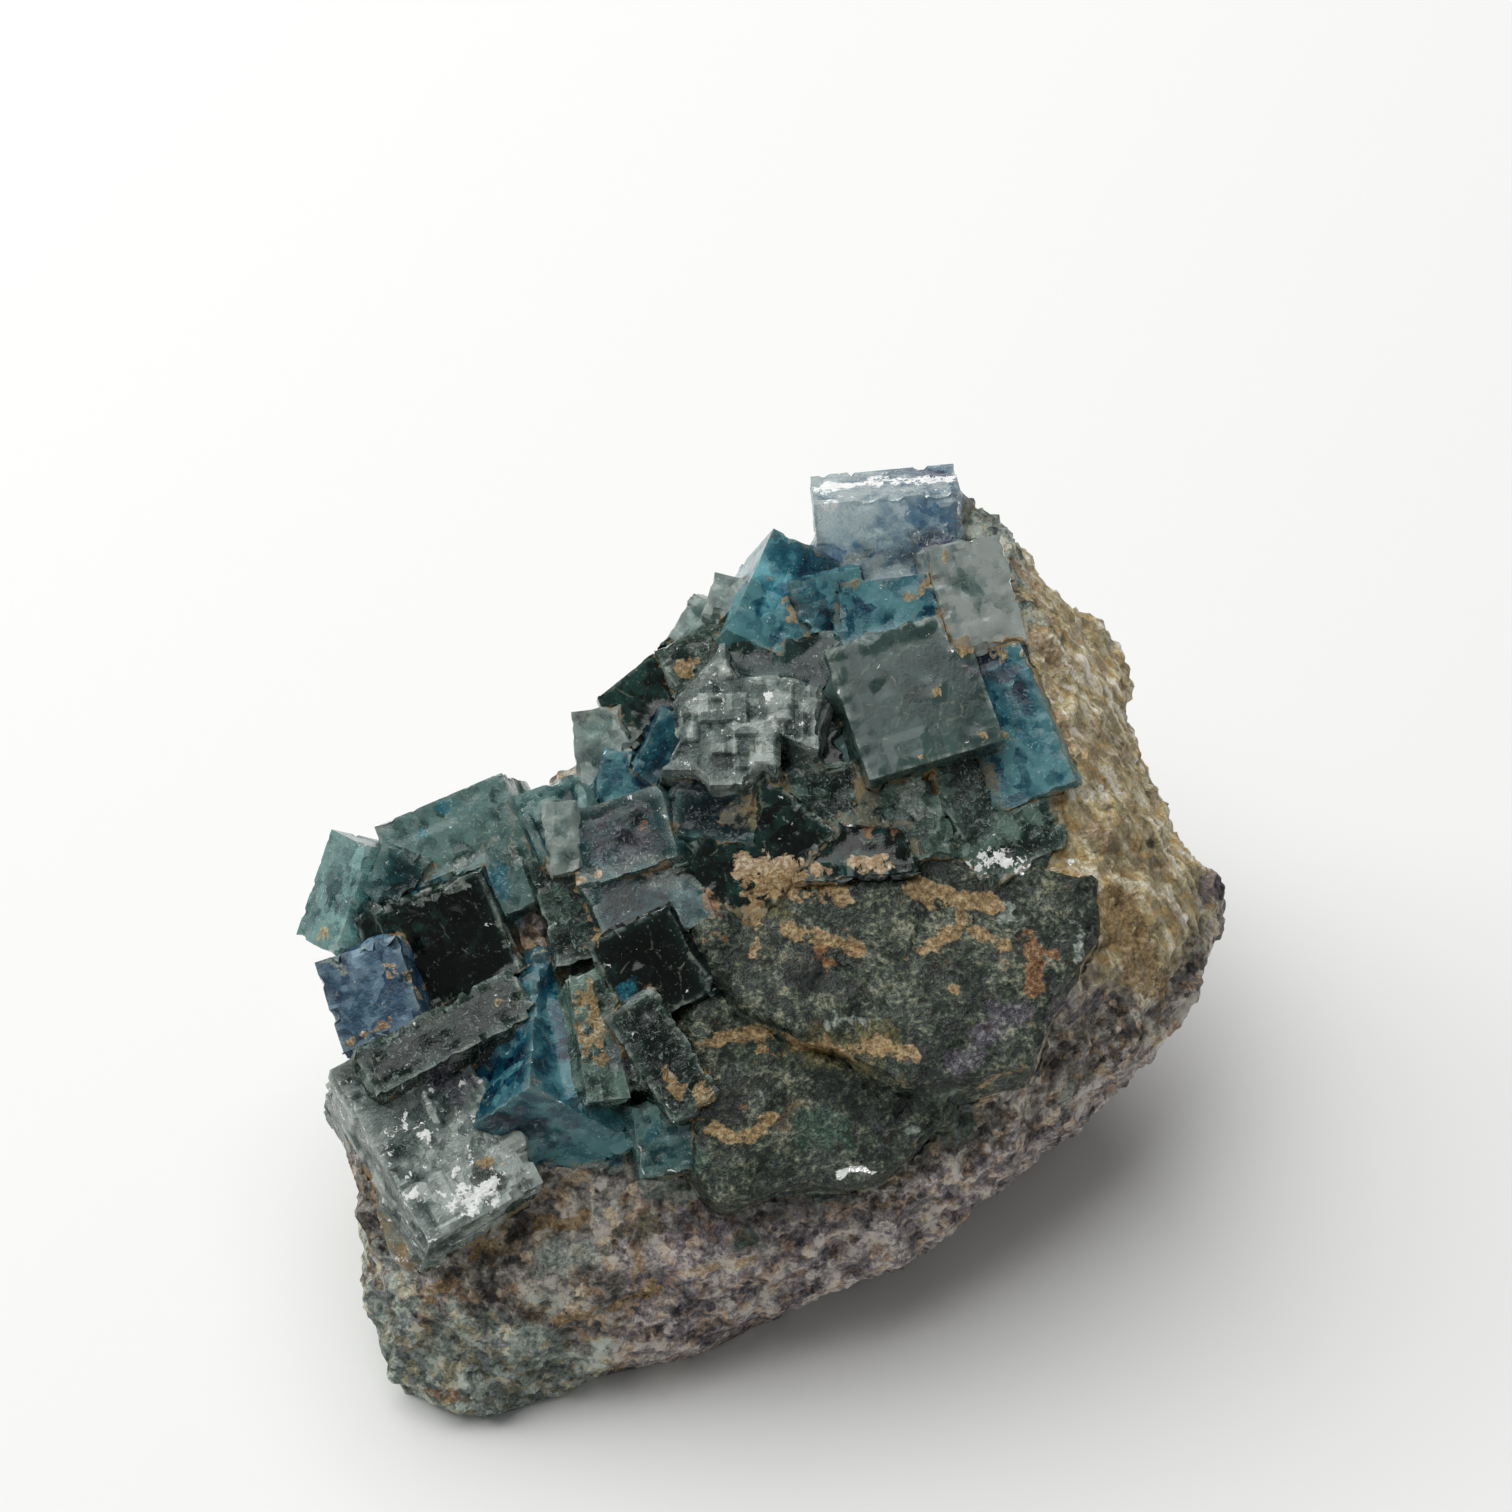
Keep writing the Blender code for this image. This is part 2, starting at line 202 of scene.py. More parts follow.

# Stains, veins, pale spots, painted glows and painted glints, by kind: the half width, then the points
# that each runs through, in the row frame.
MARKS = {
    # painted glow: bright blue spots where light seems to come through
    "painted_glow": (
        (0.4, (-26.4, 4.2, 34.2), (-22.8, 4.2, 34.8)), (0.6, (-26.4, 2.6, 33)),
        (0.4, (-26.8, -0.8, 31), (-24, -0.2, 31.6)), (1.1, (-21, -0.8, 31.6), (-19.8, -1.8, 28.8)),
        (0.8, (-10.6, -10.6, 30.4)), (0.8, (-16.8, -18, 21.4), (-12.2, -17.8, 19.2)),
        (1.1, (-15.2, -17.4, 25.8), (-12.4, -18.2, 23)), (0.8, (-8.4, -19, 23.8)),
        (1, (17.2, 9.4, 40.6), (20.6, 6.4, 39.4)), (0.9, (-9.8, 6.2, 36.8), (-7.8, 8.6, 39)),
    ),
    "milky": (
        (0.4, (-24.2, 0, 31.6), (-22.8, 0.4, 32.2), (-21.8, 1, 32.6), (-21, 1.8, 33.4)),
        (0.4, (-32, -0.2, 25.4), (-25.8, -2.2, 31.2), (-22.2, -1.6, 32.8)),
        (0.4, (-20.6, -3.8, 30), (-19.2, -5.8, 27.8)),
        (0.4, (-20.2, 4.4, 35.4), (-19.4, 0.8, 33), (-18.4, -2, 29)),
        (0.4, (-33.8, -5.6, 27.6), (-32.4, -6.4, 27.4)), (0.5, (-13.6, -2.6, 34.4), (-8.4, -1.8, 35.4)),
        (1.1, (-8.6, -3, 33.8), (-7.6, -2.2, 34.2)), (0.4, (-18, -17, 27.8), (-18.2, -18, 25.6)),
        (0.4, (-22.8, -19.6, 22.4), (-17.8, -18, 19), (-11.2, -18.6, 18.6)),
        (0.4, (-10.2, -18, 23), (-9.4, -20.6, 23)), (0.6, (-11, -15.2, 22.2), (-9.6, -17.8, 24.8)),
        (0.8, (6, 20.4, 45.4), (7.8, 20.8, 46.2)), (0.6, (6.8, 15.2, 45.4)),
        (0.4, (13.4, 15.4, 45), (14.2, 11.6, 44)), (0.8, (11, 3, 37.6), (11.6, 1.8, 36.8)),
        (0.5, (18.2, -4.4, 32.6), (19.2, -6.2, 31.8)), (0.6, (23.4, -4.8, 32.2), (23.6, -7.8, 31)),
        (0.4, (2.2, -12.8, 29.8), (8.4, -13.4, 29.4)), (0.5, (-0.4, -17, 25.6)),
        (0.6, (10.8, -18.6, 24)),
        (0.8, (23.2, -12.6, 19.6)), (0.4, (-31, -21.4, 13.4), (-27.8, -25.6, 9.8)),
        (0.4, (-27.8, -25.6, 9.8), (-19.6, -22.2, 15.4)), (0.6, (-12.8, -21.6, 16.4)),
        (1.2, (-8.8, -19.8, 18), (-6.8, -20.4, 17.6)), (1.2, (-17, -24.4, 14), (-14, -23.6, 14.4)),
        (1.2, (-18.4, -27.8, 8.4)), (1, (-25.2, -27.6, 7)), (1.1, (-22.6, -29.6, 4.4)),
        (0.7, (-24.4, -26, 10.8)),
    ),
    "cream": (
        (0.5, (-28.8, -7, 27.8), (-27.4, -7.2, 27.2), (-26.8, -8, 26)),
        (0.4, (-14, -3.2, 34), (-10.8, -2.2, 34), (-7.8, -1.6, 34.8)),
        (0.5, (-18, -4.2, 27.4), (-16.8, -5.2, 27.2)),
        (0.5, (19.4, 12.4, 43.6), (21.8, 10.6, 40.6), (23.8, 6, 37.8)),
        (0.8, (21, 14.4, 42.6), (22.6, 12.8, 41.4)),
        (0.4, (17.4, 23, 46.2), (20.2, 21.6, 44), (22.2, 17.4, 42.2)),
        (1.1, (-1.8, -2.2, 34.8), (1.6, -2.2, 34.8)), (0.6, (1.6, -2, 35), (4.4, -2.6, 34.8)),
        (0.7, (6.6, -2.2, 35), (8.8, -2.2, 35)), (0.7, (3, -3.4, 33.4), (5.4, -3.2, 33.4)),
        (0.6, (25.4, 1.6, 34.4), (26.8, 1.4, 33.6)), (0.5, (-9.8, -24, 14.2), (-10.2, -25.2, 12.6)),
        (0.5, (-5.8, -24.6, 13), (-0.8, -24, 14.6)),
    ),
    "ochre": (
        (0.4, (-35.4, -0.4, 23.6), (-34.6, -0.2, 24.6)), (0.4, (-31.4, 1, 26.2), (-30.6, 1.6, 26.2)),
        (0.4, (-32.4, -10.6, 23.4), (-28.8, -9.8, 25.2)),
        (0.4, (-14.4, -2.4, 34.4), (-14, -3.4, 32.4), (-13.4, -5, 31.2), (-13, -8, 32.6)),
        (0.4, (-20.4, -10.2, 28.2), (-19.2, -6, 26), (-17.4, -6.2, 27.8), (-15.2, -6.6, 27.2)),
        (0.4, (-14.8, -10.6, 30.8), (-14, -14.2, 29.2), (-13.6, -15.6, 28.4)),
        (0.5, (-13.8, -10.6, 31), (-13, -13.6, 29.4), (-12.8, -16, 28.2)),
        (0.5, (-21.4, -20.8, 21.8), (-19, -20.6, 21.4)),
        (0.6, (-6.6, -17.8, 26.8), (-7.6, -16.4, 27.6)),
        (0.4, (0, 18, 46), (1, 16.4, 44.8), (1.8, 14.8, 43.8)),
        (0.4, (13.6, 17.6, 48.2), (11.4, 15.8, 46)),
        (0.4, (14.8, 11.4, 43.8), (18.2, 13, 43.8)), (0.7, (18, 12.6, 43.2)), (0.4, (12.6, 8.8, 42.8)),
        (0.7, (-6.2, 13.2, 40.6)), (0.4, (21, 4, 38), (22.4, 3.2, 36)), (0.4, (12.2, 4.2, 40.6)),
        (0.5, (16.6, 5.4, 41), (18.4, 6.8, 39.2)), (1.1, (-1.2, -3.2, 34.2), (5.4, -3.6, 33.2)),
        (0.8, (11, -3.2, 33.2), (17.2, -4.2, 32.8)), (0.7, (1.6, -6.4, 32.4), (6.6, -7.6, 31.8)),
        (0.9, (-1.8, -13.2, 27.8), (10.2, -15.4, 28.6)), (0.6, (-1, -3.8, 33.6), (-0.8, -8.2, 31.6)),
        (0.5, (10, -3.4, 33.2), (13.8, -3.2, 33.2)), (0.5, (17.4, -4, 32.8)),
        (0.8, (12.4, -7.2, 31.6), (14.6, -5.6, 32.2), (17.8, -6.8, 31.6)), (0.5, (14.2, -10.2, 30.4)),
        (0.4, (11, -8.4, 31.2)), (0.5, (-4.6, -13.8, 27.6), (-2.6, -13.2, 27.8)),
        (0.5, (-6.4, -17.2, 27), (-5.6, -18.2, 24)),
        (0.5, (-4.6, -15.6, 26.6), (-5, -17.8, 26.4), (-4.2, -19.4, 24.6), (-2, -19.8, 24.2),
          (0, -18.6, 24.8)),
        (0.5, (16.2, -15.6, 25), (18.8, -16, 27.6)), (1.9, (26.8, -3, 30.6), (30, -5.2, 24.2)),
        (0.5, (-31.4, -16.4, 16.2), (-29.4, -19.8, 17.4)), (0.6, (-27.4, -23.8, 13)),
        (0.5, (-22.4, -23.6, 14.2), (-19.8, -22.4, 15.4)), (0.4, (-26.2, -25.4, 11), (-23, -24.8, 13)),
        (0.7, (-17.6, -21.8, 15.8), (-13.8, -21.8, 16.2)), (0.6, (-26.8, -26.6, 8.4)),
        (0.5, (-16.4, -27, 10), (-12.4, -26.4, 10.6), (-8.4, -25.6, 11.8)),
    ),
    "violet": (
        (1.5, (-11.8, -0.8, 35.6), (-10.4, -1.4, 35.4)),
        (1.5, (-24.6, -14.4, 25.8), (-23.8, -15, 24.4)),
        (1.1, (-20.2, -18, 24), (-17.2, -18, 23.4)), (1.2, (-11.2, -15.4, 28), (-10.6, -12.6, 21.8)),
        (1.6, (12, 21, 46.4), (13, 21, 46.2)), (1, (3, 15.8, 45.2), (3.6, 15, 44.4)),
        (0.7, (15.6, 10.2, 43.4), (18.4, 11, 42.2)), (0.7, (-14.2, 11, 37.4)), (0.7, (-13, 1.2, 36.6)),
        (0.5, (8.6, -18.4, 24.2), (8.2, -21.2, 22.8), (7.2, -21.8, 22.4)),
        (1.1, (13.6, -16.8, 28), (18, -12.6, 29.4), (25.4, -8, 26)), (1.3, (35.8, 4.2, 24.6)),
        (0.9, (32.2, -0.6, 27.2)), (0.6, (-21.4, -27.6, 8.4)), (0.4, (-14, -24.4, 13.8)),
        (0.5, (-6.8, -25.8, 10.6)),
    ),
    # painted glints: near-white spots where a face seems to catch the light; on the rock they are also
    # made metal
    "painted_glint": (
        (0.4, (-6.4, -6, 31.8), (-4.4, -7.2, 28)), (0.4, (-22.8, -14.8, 24.2)),
        (0.7, (-25.8, -19, 23.2)),
        (0.4, (-27, -21.8, 22.4)), (0.4, (-23.6, -21.4, 22)), (0.6, (-26.4, -23.8, 21.6)),
        (1.1, (-22.6, -23.4, 21), (-21.8, -23, 21)), (0.6, (-21.2, -22.2, 21.2)),
        (0.5, (-27.4, -17.8, 24)),
        (1.1, (4.4, 25.8, 47.4), (9, 26.2, 47.6), (14, 25.8, 48.4)), (0.8, (4.6, 22.2, 48.8)),
        (0.4, (-3.6, 8, 42.2)), (0.4, (-0.6, 8.4, 42.4)), (0.9, (16.6, -1.4, 34.2), (19.4, -1.2, 34)),
        (0.5, (23.6, -0.4, 33.4)), (0.4, (14.2, -8.4, 31.2)),
        (0.4, (4.6, -22.2, 22.4), (7.8, -21.8, 22.4)),
    ),
    "rust": (
        (0.5, (-5, -4, 33.4), (-3.8, -5.8, 32.8), (-3.4, -7.4, 32.2)), (0.4, (9.6, 19.8, 44)),
        (0.4, (23.2, 5, 38.4)), (0.5, (7.8, 0, 36)), (0.4, (9.8, -0.2, 36)), (0.5, (-9.8, 0.4, 36.6)),
        (0.6, (3.6, -8, 31.6), (4.4, -9, 31.2)), (0.5, (6.6, -7.6, 31.8)),
        (0.8, (20, -6.8, 31.6), (20.4, -10.6, 30.2)), (0.7, (22, -7.8, 31.2)),
        (0.4, (-1.6, -17.8, 25.2)),
        (0.4, (15.4, -14.8, 22.6)), (0.6, (-26.6, -29.2, 3.8), (-24.6, -29.8, 3.2)),
    ),
    "dark": (
        (0.7, (-21.8, -21.6, 21.6), (-18.6, -21.6, 21)), (0.8, (-3.4, 3.6, 40.4)),
        (1.2, (2.4, -9.8, 31), (7, -10.8, 30.4)), (0.5, (13.8, -8, 31.4)), (2, (-2.6, -17.2, 25.6)),
        (0.8, (9.8, -16.8, 25), (10.6, -17.4, 24.6)), (0.6, (30, 3.6, 30.8)), (0.4, (-10.2, -23.4, 15)),
    ),
    "jade": (
        (0.6, (10.6, 21.4, 47.2)), (1.8, (3.8, -19.2, 24.2), (4.8, -19.4, 24)),
        (0.9, (-5, -21.4, 23.6)),
    ),
    "olive": (
        (1.7, (3, -13.6, 27.4), (8.6, -14.8, 28.8)), (1.1, (1, -5.2, 32.8)),
        (1.1, (-10.4, -22.8, 15.4), (-9, -22.2, 16)),
    ),
}

# Each kind of mark: its colours from dark to light, how strongly it covers, and how ragged it is.
MARK_PAINT = {
    # painted glow: bright blue where light seems to come through the crystal
    "painted_glow": (("#0e4a5e", "#1f8098", "#5cc0ca"), 0.6, 0.6),
    "jade": (("#16352b", "#2c5747", "#648f7b"), 0.4, 0.9),
    "olive": (("#34351c", "#57552f", "#8a8350"), 0.6, 0.8),
    "violet": (("#28242d", "#544c5c", "#9a929e"), 0.5, 1.0),
    "dark": (("#050807", "#0d1413", "#1c2724"), 0.75, 0.8),
    "milky": (("#56665f", "#929f96", "#d2d6cc"), 0.65, 0.9),
    "cream": (("#8a7050", "#b89c78", "#e6d8c0"), 0.9, 1.0),
    "ochre": (("#5c4628", "#9c8054", "#d0b487"), 0.85, 1.0),
    "rust": (("#55301a", "#8a5c34", "#bd9262"), 0.7, 1.0),
}


def linear(hex_colour):
    """An sRGB hex colour as linear RGBA."""
    channels = [int(hex_colour[i:i + 2], 16) / 255 for i in (1, 3, 5)]
    return [c / 12.92 if c <= 0.04045 else ((c + 0.055) / 1.055) ** 2.4 for c in channels] + [1.0]


def add(tree, kind, inputs=None, out=0, stops=None, **settings):
    """Add a node with its settings, values and links, and return one of its outputs."""
    node = tree.nodes.new("ShaderNode" + kind)
    for key, value in settings.items():
        setattr(node, key, value)
    for key, value in (inputs or {}).items():
        if isinstance(value, bpy.types.NodeSocket):
            tree.links.new(value, node.inputs[key])
        else:
            node.inputs[key].default_value = linear(value) if isinstance(value, str) else value
    if stops:
        ramp = node.color_ramp.elements
        while len(ramp) < len(stops):
            ramp.new(0.5)
        for element, (place, colour) in zip(ramp, stops):
            element.position = place
            element.color = linear(colour)
    return node.outputs[out]


def new_material(name):
    """A material, its node tree and its shader."""
    material = bpy.data.materials.new(name)
    material.use_nodes = True
    tree = material.node_tree
    return material, tree, tree.nodes["Principled BSDF"]


# ---------------------------------------------------------------- materials

def paint_marks(tree, colour, ragged, grain):
    """Lay each kind of mark over a colour, with an edge that a noise makes ragged.

    It returns the colour, and how far the dull marks cover it. A noise is about 0.5, so a mark's
    edge moves in and out with it, the more the more ragged that kind is.
    """
    cover = 0.0
    for kind, (shades, strength, raggedness) in MARK_PAINT.items():
        mark = add(tree, "Attribute", out="Fac", attribute_name=kind)
        tattered = add(tree, "Math", {0: ragged, 1: raggedness * 6, 2: 1 - raggedness * 3},
                       operation="MULTIPLY_ADD")
        rough_edge = add(tree, "Math", {0: tattered, 1: mark}, operation="MULTIPLY")
        mask = add(tree, "MapRange", {"Value": rough_edge, "From Min": 0.42 - 0.35 * (1 - raggedness),
                                      "From Max": 0.55 + 0.45 * (1 - raggedness), "To Max": strength})
        tint = add(tree, "ValToRGB", {"Fac": grain},
                   stops=((0.34, shades[0]), (0.5, shades[1]), (0.66, shades[2])))
        colour = add(tree, "MixRGB", {"Fac": mask, "Color1": colour, "Color2": tint})
        if kind in ("cream", "ochre", "rust"):
            cover = add(tree, "Math", {0: mask, 1: cover}, operation="MAXIMUM")
    return colour, cover


def fluorite(name, deep, body, painted_glow, roughness, clear, dust, stain, glint_share, bump):
    """Fluorite, a glassy soft mineral grown in cubes: colour zones with a painted glow, dust, rust
    stain and painted glints.

    It is smooth where it grew and some light goes in; it splits and bruises easily, so its edges are
    worn pale, and they are also painted pale as edge highlights. deep, body and painted_glow are its
    colours from the darkest zone to a painted glow where light seems to come through. dust, stain and
    glint_share are shares of the surface; the glints are painted near white.
    """
    material, tree, shader = new_material(name)
    place = add(tree, "TexCoord", out="Object")
    cube = add(tree, "Attribute", out="Vector", attribute_name="cube")
    rim = add(tree, "Attribute", out="Fac", attribute_name="rim")
    zone = add(tree, "Attribute", out="Fac", attribute_name="zone")
    seam = add(tree, "Attribute", out="Fac", attribute_name="seam")

    # colour zones: soft clouds, crooked panes and slivers, bands along the cube's own faces, mottling
    clouds = add(tree, "TexNoise", {"Vector": place, "Scale": CLOUDS, "Detail": 3.0, "Distortion": 1.0})
    bend = add(tree, "TexNoise", {"Vector": cube, "Scale": BEND, "Detail": 4.0, "Roughness": 0.7},
               out="Color")
    bent = add(tree, "VectorMath", {0: bend, 1: (0.4, 0.4, 0.4), 2: cube}, operation="MULTIPLY_ADD")
    panes = add(tree, "TexVoronoi", {"Vector": bent, "Scale": PANES, "Randomness": 1.0},
                distance="MANHATTAN", feature="F1", out="Color")
    slivers = add(tree, "TexVoronoi", {"Vector": bent, "Scale": SLIVERS, "Randomness": 1.0},
                  distance="CHEBYCHEV", feature="F1", out="Color")
    crack = add(tree, "TexVoronoi", {"Vector": bent, "Scale": CRACKS, "Randomness": 1.0},
                feature="DISTANCE_TO_EDGE")
    bands = add(tree, "TexVoronoi", {"Vector": cube, "Scale": BANDS, "Randomness": 0.8},
                distance="CHEBYCHEV", feature="F1")
    mottle = add(tree, "TexNoise", {"Vector": place, "Scale": MOTTLE, "Detail": 4.0, "Roughness": 0.65})
    grain = add(tree, "TexNoise", {"Vector": place, "Scale": DUST, "Detail": 3.0, "Roughness": 0.65,
                                   "Distortion": 1.6})
    depth = add(tree, "Math", {0: clouds, 1: 1.2, 2: zone}, operation="MULTIPLY_ADD")
    depth = add(tree, "Math", {0: add(tree, "SeparateColor", {"Color": panes}), 1: 0.46, 2: depth},
                operation="MULTIPLY_ADD")
    depth = add(tree, "Math", {0: add(tree, "SeparateColor", {"Color": slivers}), 1: 0.28, 2: depth},
                operation="MULTIPLY_ADD")
    depth = add(tree, "Math", {0: bands, 1: 0.14, 2: depth}, operation="MULTIPLY_ADD")
    depth = add(tree, "Math", {0: mottle, 1: 0.5, 2: depth}, operation="MULTIPLY_ADD")
    zones = add(tree, "ValToRGB", {"Fac": add(tree, "Math", {0: depth, 1: 1.3}, operation="SUBTRACT")},
                stops=((0.15, deep), (0.5, body), (0.9, painted_glow)))

    # thin edges are painted in the glow colour, a painted glow of light coming through them; here and
    # there they are painted pale, partly as wear and partly as painted edge highlights
    painted_edge_glow = add(tree, "Math", {0: rim, 1: 0.4}, operation="MULTIPLY")
    colour = add(tree, "MixRGB", {"Fac": painted_edge_glow, "Color1": zones, "Color2": painted_glow})
    tatter = add(tree, "TexNoise", {"Vector": place, "Scale": TATTER, "Detail": 6.0, "Roughness": 0.72,
                                    "Distortion": 0.5})
    patchy = add(tree, "MapRange", {"Value": tatter, "From Min": 0.45, "From Max": 0.6, "To Max": 0.6})
    worn_and_highlit_edge = add(tree, "MapRange", {"Value": rim, "From Min": 0.6, "From Max": 0.95})
    worn_and_highlit_edge = add(tree, "Math", {0: worn_and_highlit_edge, 1: patchy}, operation="MULTIPLY")
    colour = add(tree, "MixRGB", {"Fac": worn_and_highlit_edge, "Color1": colour, "Color2": "#b4c1b8"})
    colour, crust = paint_marks(tree, colour, tatter, grain)

    # iron stain in clouds and along the seams
    rust = add(tree, "TexNoise", {"Vector": place, "Scale": STAIN, "Detail": 5.0, "Roughness": 0.75})
    rusty = add(tree, "Math", {0: seam, 1: 0.22, 2: rust}, operation="MULTIPLY_ADD")
    stained = add(tree, "MapRange", {"Value": rusty, "From Min": 0.70 - 0.13 * stain,
                                     "From Max": 0.76 - 0.11 * stain, "To Max": 0.8})
    ochre = add(tree, "ValToRGB", {"Fac": grain},
                stops=((0.35, "#4a3a22"), (0.5, "#79603a"), (0.66, "#b0936a")))
    colour = add(tree, "MixRGB", {"Fac": stained, "Color1": colour, "Color2": ochre})

    # cracks, and clay where two crystals have grown together
    lime = add(tree, "ValToRGB", {"Fac": clouds},
               stops=((0.4, "#6d7a70"), (0.5, "#8f8a6c"), (0.58, "#a07c48")))
    healed = add(tree, "Math", {0: rust, 1: 1.6, 2: seam}, operation="MULTIPLY_ADD")
    healed = add(tree, "MapRange", {"Value": healed, "From Min": 1.62, "From Max": 1.8, "To Max": 0.5})
    line = add(tree, "MapRange", {"Value": crack, "From Min": 0.008, "From Max": 0.035,
                                  "To Min": 1.0, "To Max": 0.0})
    faint = add(tree, "MapRange", {"Value": tatter, "From Min": 0.5, "From Max": 0.6, "To Max": 0.45})
    line = add(tree, "Math", {0: line, 1: faint}, operation="MULTIPLY")
    colour = add(tree, "MixRGB", {"Fac": line, "Color1": colour, "Color2": "#a5aa94"})
    colour = add(tree, "MixRGB", {"Fac": healed, "Color1": colour, "Color2": lime})

    # dust, scratches and bruises: short pale marks
    fleck = add(tree, "MapRange", {"Value": grain, "From Min": 0.68 - 0.13 * dust,
                                   "From Max": 0.78 - 0.10 * dust, "To Max": 0.3 + 0.4 * dust})
    colour = add(tree, "MixRGB", {"Fac": fleck, "Color1": colour, "Color2": "#9cb0a8"})

    # painted glints: little cleavage faces painted near white, as if they flashed like a mirror
    glint_cells = add(tree, "TexVoronoi", {"Vector": cube, "Scale": GLINT_CELLS, "Randomness": 1.0},
                 distance="MANHATTAN", feature="F1", out="Color")
    painted_glint = add(tree, "Attribute", out="Fac", attribute_name="painted_glint")
    broken = add(tree, "Math", {0: grain, 1: 2.2, 2: add(tree, "SeparateColor", {"Color": glint_cells})},
                 operation="MULTIPLY_ADD")
    broken = add(tree, "Math", {0: mottle, 1: 2.5, 2: broken}, operation="MULTIPLY_ADD")
    patch = add(tree, "Math", {0: painted_glint, 1: 1.25, 2: broken}, operation="MULTIPLY_ADD")
    painted_glint_mask = add(tree, "MapRange", {"Value": patch, "From Min": 3.85 - 0.8 * glint_share,
                                      "From Max": 3.97 - 0.8 * glint_share, "To Max": 0.95})
    colour = add(tree, "MixRGB", {"Fac": painted_glint_mask, "Color1": colour, "Color2": "#f2f3f0"})
    tree.links.new(colour, shader.inputs["Base Color"])

    # crust, stain and dust are dull, and no light goes in there or where the glints are painted
    dull = add(tree, "Math", {0: fleck, 1: crust}, operation="MAXIMUM")
    dull = add(tree, "Math", {0: stained, 1: dull}, operation="MAXIMUM")
    rough = add(tree, "MapRange", {"Value": dull, "To Min": roughness, "To Max": 0.75})
    tree.links.new(rough, shader.inputs["Roughness"])
    opaque = add(tree, "Math", {0: dull, 1: painted_glint_mask}, operation="MAXIMUM")
    see_through = add(tree, "MapRange", {"Value": opaque, "To Min": clear, "To Max": 0.0})
    tree.links.new(see_through, shader.inputs["Transmission Weight"])
    shader.inputs["IOR"].default_value = FLUORITE_IOR

    relief = add(tree, "Math", {0: grain, 1: mottle}, operation="ADD")
    height = add(tree, "Bump", {"Height": relief, "Strength": bump, "Distance": PITS_DEPTH * MM})
    tree.links.new(height, shader.inputs["Normal"])
    return material


